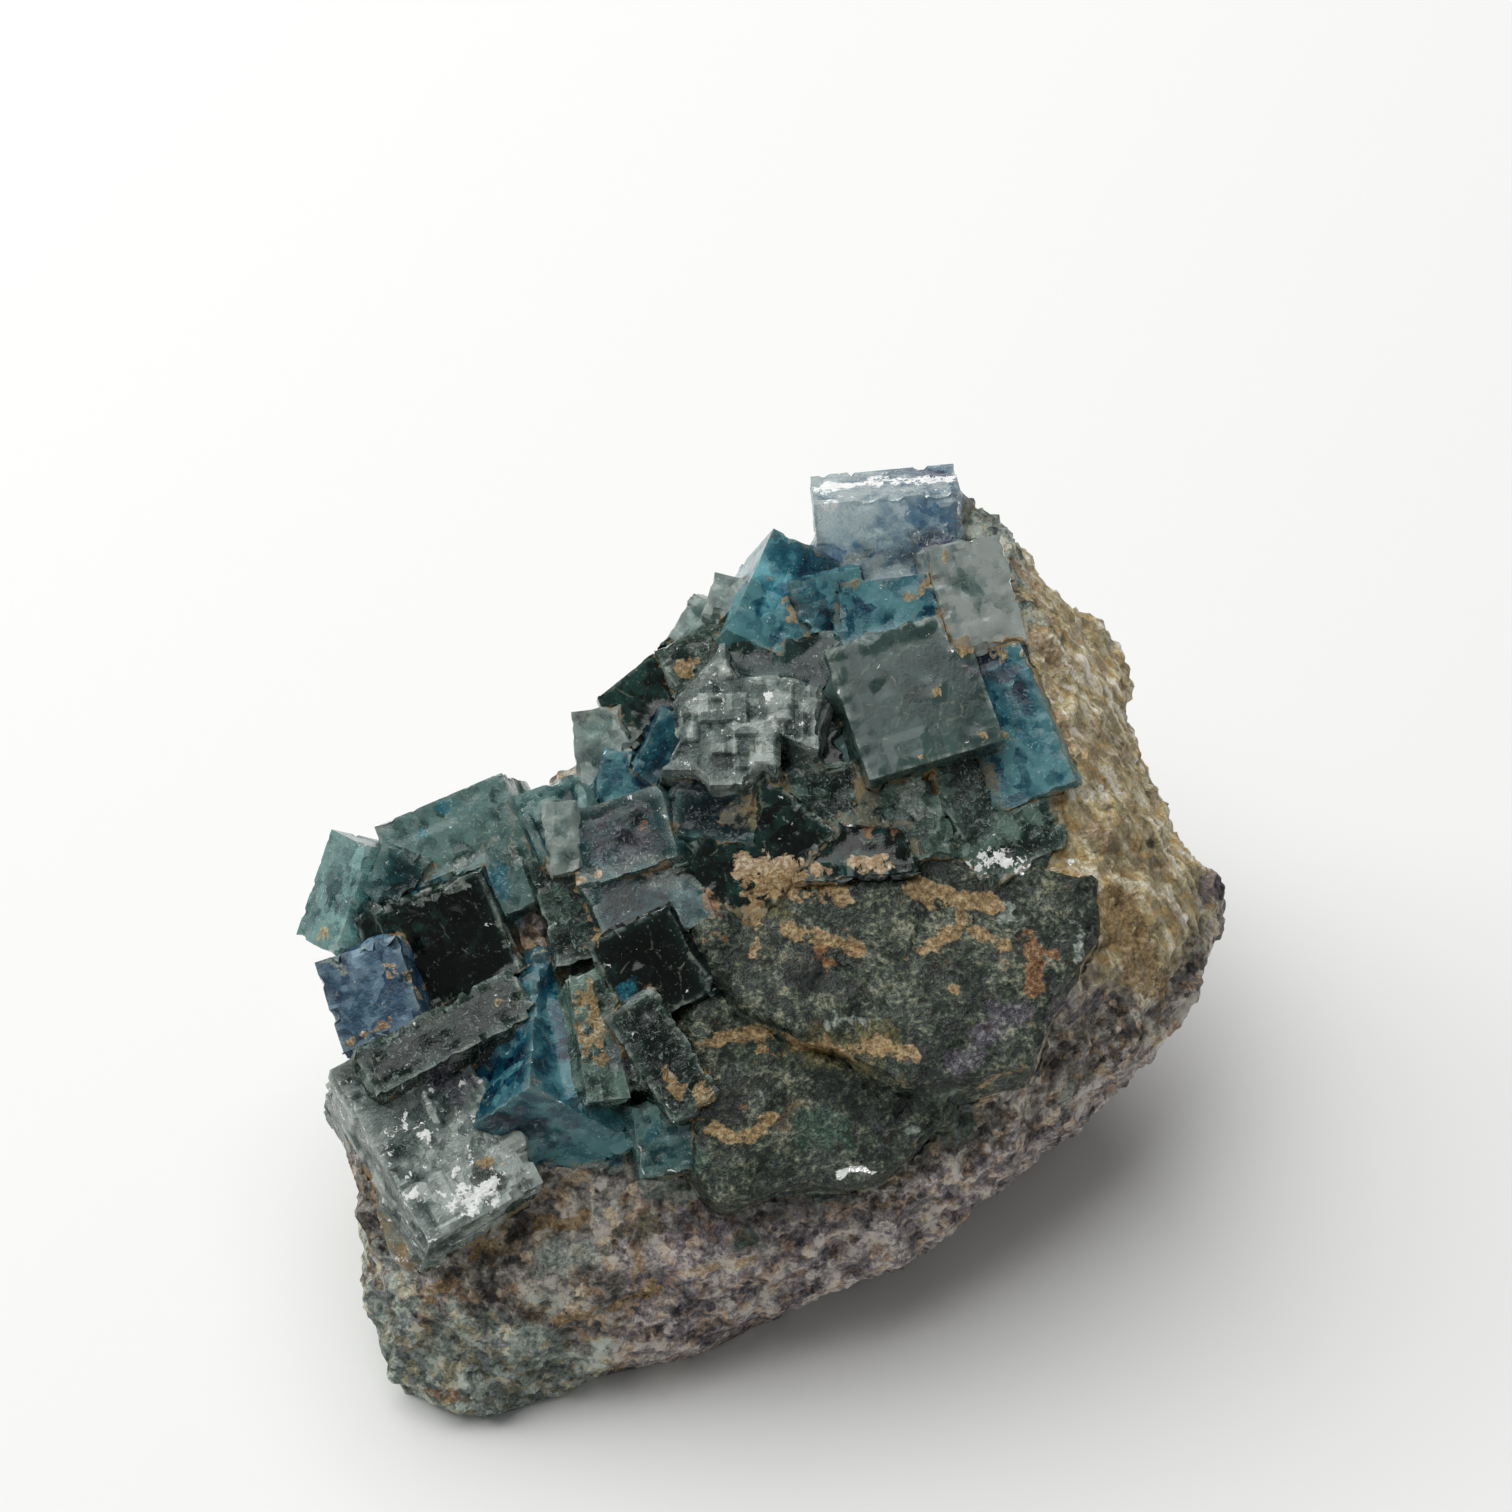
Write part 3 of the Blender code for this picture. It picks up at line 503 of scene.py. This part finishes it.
def stone(name, gloss):
    """Broken matrix rock: grains of quartz, clay and violet fluorite, and massive green fluorite.

    It is matte and rough, with single glassy grains, and pale flakes made metal and painted near white
    as glints. Its zones come from
    the mesh: gold on the right slope, which streaks run down, violet along the broken rim, green
    under the crystals, pale at the foot and above the golden slope, and moss where massive fluorite
    lies under a thin crust. gloss makes more of its grains glassy.
    """
    material, tree, shader = new_material(name)
    place = add(tree, "TexCoord", out="Object")
    wander = add(tree, "TexNoise", {"Vector": place, "Scale": CROOKED, "Detail": 3.0}, out="Color")
    shift = add(tree, "VectorMath", {0: wander, "Scale": 0.0011}, operation="SCALE")
    warped = add(tree, "VectorMath", {0: place, 1: shift}, operation="ADD")
    grains = add(tree, "TexVoronoi", {"Vector": warped, "Scale": GRAINS, "Randomness": 1.0},
                 feature="F1", out="Color")
    grain = add(tree, "SeparateColor", {"Color": grains})
    fine = add(tree, "TexNoise", {"Vector": place, "Scale": SPECKS, "Detail": 4.0, "Roughness": 0.7})
    broad = add(tree, "TexNoise", {"Vector": place, "Scale": BLOTCHES, "Detail": 5.0, "Roughness": 0.65,
                                   "Distortion": 0.8})
    medium = add(tree, "TexNoise", {"Vector": warped, "Scale": CRUMBS, "Detail": 4.0, "Roughness": 0.7})
    mixed = add(tree, "Math", {0: grain, 1: 0.22, 2: medium}, operation="MULTIPLY_ADD")
    speckle = add(tree, "Math", {0: fine, 1: 0.6, 2: mixed}, operation="MULTIPLY_ADD")
    speckle = add(tree, "Math", {0: broad, 1: 1.1, 2: speckle}, operation="MULTIPLY_ADD")
    speckle = add(tree, "Math", {0: speckle, 1: 0.96}, operation="SUBTRACT")

    # massive fluorite has a closer speckle, without grains
    close = add(tree, "Math", {0: medium, 1: 0.5}, operation="MULTIPLY")
    close = add(tree, "Math", {0: fine, 1: 0.8, 2: close}, operation="MULTIPLY_ADD")
    close = add(tree, "Math", {0: broad, 1: 0.6, 2: close}, operation="MULTIPLY_ADD")
    close = add(tree, "Math", {0: close, 1: 0.45}, operation="SUBTRACT")

    # the golden side is drawn out in streaks that run down it
    drawn = add(tree, "Attribute", out="Vector", attribute_name="drawn")
    streaks = add(tree, "TexNoise", {"Vector": drawn, "Scale": STREAKS, "Detail": 6.0, "Roughness": 0.7,
                                     "Distortion": 0.4})
    streaky = add(tree, "Math", {0: speckle, 1: 0.2}, operation="MULTIPLY")
    streaky = add(tree, "Math", {0: streaks, 1: 0.8, 2: streaky}, operation="MULTIPLY_ADD")

    # each zone's colours from dark to light over the grey of the rest
    colour = add(tree, "ValToRGB", {"Fac": speckle},
                 stops=((0.2, "#292724"), (0.34, "#625e57"), (0.5, "#a29c90"), (0.68, "#dcd7cd")))
    for zone, pattern, stops in (
            ("violet_zone", speckle,
             ((0.2, "#272426"), (0.34, "#645e62"), (0.5, "#a69e9c"), (0.68, "#e2dcd4"))),
            ("gold_zone", streaky,
             ((0.3, "#635a44"), (0.41, "#a89b72"), (0.5, "#cfc39a"), (0.61, "#fbf6ea"))),
            ("pale_zone", speckle,
             ((0.2, "#2d3531"), (0.34, "#616e66"), (0.5, "#9aa79d"), (0.68, "#d8ded4"))),
            ("green_zone", speckle,
             ((0.2, "#0e1613"), (0.38, "#28362f"), (0.56, "#54655a"), (0.78, "#93a091"))),
            ("moss_zone", close,
             ((0.34, "#080d0a"), (0.46, "#1c271f"), (0.56, "#465243"), (0.7, "#9a9a82")))):
        share = add(tree, "Attribute", out="Fac", attribute_name=zone)
        ragged = add(tree, "Math", {0: share, 1: broad}, operation="ADD")
        mask = add(tree, "MapRange", {"Value": ragged, "From Min": 0.88, "From Max": 1.02})
        tint = add(tree, "ValToRGB", {"Fac": pattern}, stops=stops)
        colour = add(tree, "MixRGB", {"Fac": mask, "Color1": colour, "Color2": tint})

    # single grains of clay and of violet fluorite among the grey
    picked = add(tree, "SeparateColor", {"Color": grains}, out=1)
    tint = add(tree, "ValToRGB", {"Fac": picked},
               stops=((0.18, "#7b7488"), (0.3, "#808080"), (0.66, "#808080"), (0.78, "#c39a66")))
    moss = add(tree, "Attribute", out="Fac", attribute_name="moss_zone")
    tinted = add(tree, "MapRange", {"Value": moss, "To Min": 0.48, "To Max": 0.12})
    colour = add(tree, "MixRGB", {"Fac": tinted, "Color1": colour, "Color2": tint},
                 blend_type="OVERLAY")

    # iron stain, marks, painted shade darkening the hollows, and flakes painted near white and made
    # metal as glints
    rust = add(tree, "TexNoise", {"Vector": place, "Scale": RUST, "Detail": 6.0, "Roughness": 0.75})
    rusty = add(tree, "MapRange", {"Value": rust, "From Min": 0.58, "From Max": 0.66, "To Max": 0.4})
    ochre = add(tree, "ValToRGB", {"Fac": medium},
                stops=((0.35, "#4a3520"), (0.5, "#7f6038"), (0.68, "#b38e5e")))
    colour = add(tree, "MixRGB", {"Fac": rusty, "Color1": colour, "Color2": ochre})
    colour = paint_marks(tree, colour, rust, fine)[0]
    # painted shade: the rock's colour is darkened where its surface is sunk in
    painted_hollow_shade = add(tree, "Attribute", out="Fac", attribute_name="painted_hollow_shade")
    shade = add(tree, "MapRange", {"Value": painted_hollow_shade, "To Min": 1.0, "To Max": 0.35})
    colour = add(tree, "MixRGB", {"Fac": 1.0, "Color1": colour, "Color2": shade},
                 blend_type="MULTIPLY")
    # painted glints: where the glint marks lie, flakes are painted near white and made metal
    painted_glint = add(tree, "Attribute", out="Fac", attribute_name="painted_glint")
    painted_glint_mask = add(tree, "Math", {0: medium, 1: 2.0, 2: painted_glint}, operation="MULTIPLY_ADD")
    painted_glint_mask = add(tree, "MapRange", {"Value": painted_glint_mask, "From Min": 1.6, "From Max": 1.75})
    tree.links.new(painted_glint_mask, shader.inputs["Metallic"])
    colour = add(tree, "MixRGB", {"Fac": painted_glint_mask, "Color1": colour, "Color2": "#f2f3f0"})
    tree.links.new(colour, shader.inputs["Base Color"])

    glassy = add(tree, "MapRange", {"Value": grain, "From Min": 0.8 - gloss, "From Max": 0.9 - gloss,
                                    "To Min": 0.75, "To Max": 0.22})
    tree.links.new(glassy, shader.inputs["Roughness"])
    height = add(tree, "Bump", {"Height": speckle, "Strength": 0.9, "Distance": GRAINS_DEPTH * MM})
    tree.links.new(height, shader.inputs["Normal"])
    return material


def make_finishes():
    """One material for each finish of the crystals, and two of stone."""
    finishes = {finish: fluorite(*recipe) for finish, recipe in FLUORITES.items()}
    finishes["crusted"] = stone("Fluorite, massive and dark green under a crust", 0.45)
    finishes["rock"] = stone("Matrix rock, broken and iron-stained", 0.1)
    return finishes


# ---------------------------------------------------------------- meshes

def merged_copy(node):
    """A copy of a CAD node's mesh with its loose triangles merged."""
    bm = bmesh.new()
    bm.from_mesh(bpy.data.objects[node].data)
    bmesh.ops.remove_doubles(bm, verts=bm.verts, dist=0.001 * MM)
    return bm


def crystal_frame(bm):
    """The crystal's own axes, from its largest square-set faces, and its box along them."""
    areas = {}
    for face in bm.faces:
        key = tuple(abs(round(c, 2)) * (1 if c * face.normal[2] >= 0 else -1) for c in face.normal)
        areas[key] = areas.get(key, 0.0) + face.calc_area()
    ranked = sorted(areas, key=areas.get, reverse=True)[:9]
    square_pairs = [(a, b) for a in ranked for b in ranked if abs(Vector(a).dot(Vector(b))) < 0.03]
    first, second = max(square_pairs, key=lambda pair: areas[pair[0]] + areas[pair[1]])
    first = Vector(first).normalized()
    second = (Vector(second) - first * first.dot(Vector(second))).normalized()
    turn = Matrix((second, first.cross(second), first)).transposed()
    points = [turn.transposed() @ vert.co for vert in bm.verts]
    low = Vector([min(point[i] for point in points) for i in range(3)])
    high = Vector([max(point[i] for point in points) for i in range(3)])
    return turn, turn @ ((low + high) / 2), (high - low) / 2


def even_skin(bm, name, cell):
    """The solid as an object with an even skin of small faces."""
    mesh = bpy.data.meshes.new(name)
    bm.to_mesh(mesh)
    bm.free()
    obj = bpy.data.objects.new(name, mesh)
    bpy.context.scene.collection.objects.link(obj)
    skin = obj.modifiers.new("Even skin", "REMESH")
    skin.mode = "VOXEL"
    skin.voxel_size = cell * MM
    obj.data = bpy.data.meshes.new_from_object(obj.evaluated_get(bpy.context.evaluated_depsgraph_get()))
    obj.modifiers.clear()
    return obj


def read_points(mesh):
    """A mesh's points in millimetres, and its normals."""
    points = np.empty(len(mesh.vertices) * 3)
    mesh.vertices.foreach_get("co", points)
    normals = np.empty(len(mesh.vertices) * 3)
    mesh.vertices.foreach_get("normal", normals)
    return points.reshape(-1, 3) / MM, normals.reshape(-1, 3)


def write_points(mesh, points):
    """Put a mesh's points at places in millimetres."""
    mesh.vertices.foreach_set("co", (points * MM).ravel())
    mesh.update()


def paint(mesh, name, values):
    """Store a number, or a vector, for each point of a mesh."""
    kind = "FLOAT_VECTOR" if values.ndim == 2 else "FLOAT"
    attribute = mesh.attributes.new(name, kind, "POINT")
    attribute.data.foreach_set("vector" if values.ndim == 2 else "value", values.ravel())


def wandering(points):
    """The points shifted by a noise, so that shapes measured from them get wavering outlines."""
    return points + np.array([sum((far * noise.noise_vector(Vector(point) * often)
                                   for far, often in WANDER), Vector()) for point in points])


def marks_of(kind, points):
    """How near each point is to a mark of that kind: 1 on it, 0.5 at its edge, 0 well outside."""
    value = np.zeros(len(points))
    for radius, *path in MARKS[kind]:
        path = [np.array(place) for place in (path if len(path) > 1 else path * 2)]
        for start, end in zip(path, path[1:]):
            along = end - start
            share = np.clip((points - start) @ along / max(along @ along, 0.01), 0, 1)
            away = np.linalg.norm(points - start - share[:, None] * along, axis=1)
            value = np.maximum(value, np.clip(1.5 - away / radius, 0, 1))
    return value


def all_neighbours():
    """For each CAD node, a search tree over the triangles of all the others."""
    soups = {}
    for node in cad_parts:
        mesh = bpy.data.objects[node].data
        soups[node] = ([vert.co / MM for vert in mesh.vertices],
                       [tuple(face.vertices) for face in mesh.polygons])
    trees = {}
    for node in soups:
        corners, faces = [], []
        for other, (some_corners, some_faces) in soups.items():
            if other != node:
                faces += [tuple(i + len(corners) for i in face) for face in some_faces]
                corners += some_corners
        trees[node] = BVHTree.FromPolygons(corners, faces)
    return trees


def closeness(points, tree):
    """How near each point is to the next piece: 1 where they touch, fading over a millimetre."""
    near = np.zeros(len(points))
    for i, point in enumerate(points):
        found = tree.find_nearest(Vector(point), NEAR)
        if found[0] is not None:
            near[i] = math.exp(-max(found[3] - TOUCHING, 0) / FADE)
    return near


def spread(mesh, values, rounds):
    """Values averaged with those of the points next to them, several times over."""
    ends = np.empty(len(mesh.edges) * 2, dtype=int)
    mesh.edges.foreach_get("vertices", ends)
    first, second = ends.reshape(-1, 2).T
    count = np.bincount(ends, minlength=len(values)) + 1
    for _ in range(rounds):
        total = (np.bincount(first, values[second], len(values))
                 + np.bincount(second, values[first], len(values)))
        values = (values + total) / count
    return values


def fill_gaps(mesh, points, normals, tree, reach):
    """How far each point grows along its normal to meet a neighbour that is within reach."""
    grown = np.zeros(len(points))
    for i in range(len(points)):
        hit = tree.ray_cast(Vector(points[i]), Vector(normals[i]), reach)
        if hit[0] is not None:
            grown[i] = (hit[3] + OVERLAP) * min(1.0, (reach - hit[3]) / EASE)
    return spread(mesh, grown, 5)


def terraces(points, normals, half, steps, pits, dice):
    """How each point of a crystal moves for growth steps and four-sided etch pits, and how far out."""
    widest = 0.35 if steps > ETCHED else 0.6
    height = ETCHED_STEP_HEIGHT if steps > ETCHED else STEP_HEIGHT
    main = np.argmax(np.abs(normals), axis=1)
    rows = np.arange(len(points))
    flat = np.abs(normals[rows, main]) > 0.95
    side = np.sign(normals[rows, main])
    lift = np.zeros(len(points))
    for axis in range(3):
        others = [i for i in range(3) if i != axis]
        across = points[:, others]
        size = half[others]
        for sign in (-1, 1):
            on_face = flat & (main == axis) & (side == sign)
            for _ in range(steps // 2):
                corner = np.array([dice.uniform(-1, 1), dice.uniform(-1, 1)]) * size
                extent = np.array([dice.uniform(0.08, widest), dice.uniform(0.08, widest)]) * size
                inside = (np.abs(across - corner) < extent).all(axis=1)
                lift[on_face & inside] += dice.choice((-1, 1, 1)) * dice.uniform(0.3, 1.0) * height
            for _ in range(pits // 3):
                centre = np.array([dice.uniform(-1, 1), dice.uniform(-1, 1)]) * size
                radius = dice.uniform(0.4, 1.0)
                away = np.abs(across - centre).max(axis=1) / radius
                lift -= np.where(on_face & (away < 1), (1 - away) * radius * 0.35, 0)
    lift = np.clip(lift, DEEPEST, HIGHEST)
    moved = np.zeros(points.shape)
    moved[rows, main] = side * lift
    return moved, lift


def grow_crystal(node, steps, pits, chips, lumps, shade, light, neighbours, dice):
    """A detailed crystal in the place of its CAD node."""
    massive = lumps > MASSIVE
    bm = merged_copy(node)
    turn, middle, half = crystal_frame(bm)
    to_own = turn.transposed().to_4x4() @ Matrix.Translation(-middle)
    bmesh.ops.transform(bm, matrix=to_own, verts=bm.verts)
    obj = even_skin(bm, node + "_crystal", SLAB_CELL if massive else CRYSTAL_CELL)
    mesh = obj.data
    points, normals = read_points(mesh)
    half = np.array(half) / MM

    # flat faces, and a place in the patterns that no other crystal has
    square = (np.abs(points) > half - SQUARED) & (not massive)
    points = np.where(square, np.sign(points) * half, points)
    offset = half * 0.37
    cube = points + offset
    moved, lift = terraces(points, normals, half, steps, pits, dice)
    outwards = np.where(square.any(axis=1)[:, None], square * np.sign(points), normals)
    points = points + moved + outwards * SWELL

    # how near each point is to an edge of the cube, chips knocked off it, and lumps of 5 mm
    margins = np.sort(half - np.abs(cube - offset), axis=1)
    rim = np.exp(-np.clip(margins[:, 1], 0, None) / 0.4)
    for i, point in enumerate(cube):
        bite = 0.0
        if margins[i, 1] < CHIPPED:
            bite = noise.noise(Vector(point) * 0.9) + 0.5 * noise.noise(Vector(point) * 2.3) - 0.12
            bite = min(0.5, max(bite, 0) * 2.2) * chips * (CHIPPED - margins[i, 1])
        if lumps:
            bite += lumps * (0.25 - noise.fractal(Vector(point) * 0.22, 0.75, 2.4, 6))
        points[i] -= normals[i] * (bite - 0.04 * chips * noise.noise(Vector(point) * 1.6))
    write_points(mesh, points)
    mesh.transform(to_own.inverted())

    # crusts stand proud, dark marks are hollows, painted glints are rough, and gaps are filled
    points, normals = read_points(mesh)
    near = closeness(points, neighbours)
    wavering = wandering(points)
    marks = {kind: marks_of(kind, wavering) for kind in MARKS}
    crust = 0.08 * (marks["ochre"] + marks["cream"]) - 0.5 * marks["dark"]
    for i in np.nonzero(marks["painted_glint"] > 0)[0]:
        crust[i] += 0.35 * marks["painted_glint"][i] * noise.noise(Vector(points[i]) * 1.3)
    crust = np.maximum(crust, fill_gaps(mesh, points, normals, neighbours,
                                        MASSIVE_REACH if massive else REACH))
    points += normals * crust[:, None]
    write_points(mesh, points)

    # zone: the crystal's tone, a painted glow that lightens it towards one side, and painted light and
    # shade on its faces: raised steps lighter, pits darker
    outward = (points - np.array(middle) / MM) / max(half)
    paint(mesh, "zone", 0.5 + shade + 0.4 * outward @ np.array(light) + 1.4 * np.clip(lift, -0.15, 0.2))
    if massive:
        paint_zones(mesh, points, 1 - 0.75 * np.clip(near * 1.3, 0, 1))
        paint(mesh, "painted_hollow_shade", np.zeros(len(points)))
    paint(mesh, "cube", cube)
    paint(mesh, "rim", rim)
    paint(mesh, "seam", near)
    for kind, value in marks.items():
        paint(mesh, kind, value)
    mesh.shade_smooth()
    mesh.set_sharp_from_angle(angle=math.radians(SHARP_EDGE))
    return obj


def rise(values, start, end):
    """Values from 0 at the start to 1 at the end, which may be the lower of the two."""
    return np.clip((values - start) / (end - start), 0, 1)


def paint_zones(mesh, points, moss):
    """Where the stone is golden, green, violet, pale or mossy, and the direction it is drawn out in."""
    x, y, z = points.T
    under_crystals = z - (34.7 + 0.66 * y)
    paint(mesh, "gold_zone", rise(x - 19 + (z - 28) * 0.4, 0, 9) * rise(z, 18, 31))
    paint(mesh, "green_zone", rise(under_crystals, -6, -2) * rise(x, 20, 15) * 0.6)
    paint(mesh, "violet_zone", rise(x, -16, -8) * rise(z, 26, 14) * 0.7)
    paint(mesh, "pale_zone", rise(x, -6, -18) * rise(z, 19, 5) * 0.75
          + rise(z, 38, 44) * rise(x, 12, 16) * 0.55)
    paint(mesh, "moss_zone", np.broadcast_to(moss, len(points)).astype(float))
    paint(mesh, "drawn", points - DRAWN * np.outer(points @ STREAK, STREAK))


def break_rock(neighbours):
    """The matrix rock in detail: ragged, grained and pitted, with its zones painted on."""
    obj = even_skin(merged_copy("matrix_rock"), "matrix_rock_broken", ROCK_CELL)
    mesh = obj.data
    points, normals = read_points(mesh)
    near = closeness(points, neighbours)
    lift = np.zeros(len(points))
    # ridges 6 mm apart, roughness from 2 mm down, and grains of 1 mm with sunken joints
    for i, point in enumerate(points):
        place = Vector(point)
        ridge = 1 - abs(noise.noise(place * 0.16)) * 2
        rough = noise.fractal(place * 0.45, 0.8, 2.2, 5)
        cell = noise.voronoi(place * 0.95)[0]
        lift[i] = 0.45 * ridge + 0.6 * rough + 0.6 * min(cell[1] - cell[0], 0.5) - 0.72
    wavering = wandering(points)
    marks = {kind: marks_of(kind, wavering) for kind in MARKS}
    lift += 0.25 * marks["milky"] - 0.6 * marks["dark"]
    # it climbs a little way up each crystal, the base stays flat, and the outline stays in its box
    lift = np.clip(lift, ROCK_DEEPEST, ROCK_HIGHEST) * (1 - near) + near * (0.45 + 0.45 * lift)
    lift *= rise(points[:, 2], BASE, ABOVE_BASE)
    points += normals * lift[:, None]
    write_points(mesh, points)
    paint_zones(mesh, points, 0)
    paint(mesh, "painted_hollow_shade", rise(lift, 0, ROCK_DEEPEST) ** 1.5)
    for kind, value in marks.items():
        paint(mesh, kind, value)
    mesh.shade_smooth()
    mesh.set_sharp_from_angle(angle=math.radians(SHARP_STONE))
    return obj


def dress(obj, material, node):
    """Give a piece its finish, and put it in the place of its CAD node."""
    obj.data.materials.clear()
    obj.data.materials.append(material)
    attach(obj, BODY)
    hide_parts(node)


def build_specimen():
    """Every crystal, each with its own dice, and the rock."""
    finishes = make_finishes()
    trees = all_neighbours()
    for number, (node, (finish, *growth)) in enumerate(CRYSTALS.items()):
        crystal = grow_crystal(node, *growth, trees[node], random.Random(number))
        dress(crystal, finishes[finish], node)
    dress(break_rock(trees["matrix_rock"]), finishes["rock"], "matrix_rock")


# ---------------------------------------------------------------- studio

def build_studio():
    """A plain pale table under a large soft light, with a window to the left."""
    bm = bmesh.new()
    bmesh.ops.create_grid(bm, x_segments=1, y_segments=1, size=FLOOR)
    mesh = bpy.data.meshes.new("floor")
    bm.to_mesh(mesh)
    bm.free()
    floor = bpy.data.objects.new("floor", mesh)
    bpy.context.scene.collection.objects.link(floor)
    material, _, shader = new_material("White table, matte")
    shader.inputs["Base Color"].default_value = linear("#f4f4f2")
    shader.inputs["Roughness"].default_value = 0.9
    floor.data.materials.append(material)

    for name, place, size, radiance, aim in LIGHTS:
        light = bpy.data.lights.new(name, "AREA")
        light.shape = "SQUARE"
        light.size = size
        light.energy = radiance * math.pi * size ** 2
        obj = bpy.data.objects.new(name, light)
        obj.location = place
        obj.rotation_euler = (Vector(aim) - Vector(place)).to_track_quat("-Z", "Y").to_euler()
        bpy.context.scene.collection.objects.link(obj)
    world = bpy.data.worlds.new("Pale room")
    world.use_nodes = True
    world.node_tree.nodes["Background"].inputs["Color"].default_value = linear("#f2f5f7")
    world.node_tree.nodes["Background"].inputs["Strength"].default_value = ROOM_LIGHT
    bpy.context.scene.world = world
    bpy.context.scene.view_settings.view_transform = "Standard"


def build_camera():
    """The camera on its line of sight."""
    down = math.radians(VIEW_DOWN)
    along = Vector((0, math.cos(down), -math.sin(down)))
    camera = bpy.data.objects.new("Camera", bpy.data.cameras.new("Camera"))
    camera.data.lens = LENS
    camera.data.sensor_width = FILM_WIDTH
    camera.data.clip_start = 0.01
    camera.location = (Vector(VIEW_AT) - along * VIEW_AWAY) * MM
    camera.rotation_euler = along.to_track_quat("-Z", "Y").to_euler()
    bpy.context.scene.collection.objects.link(camera)
    bpy.context.scene.camera = camera


noise.seed_set(NOISE_SEED)      # without it the noise vectors differ from run to run
build_camera()
build_studio()
build_specimen()
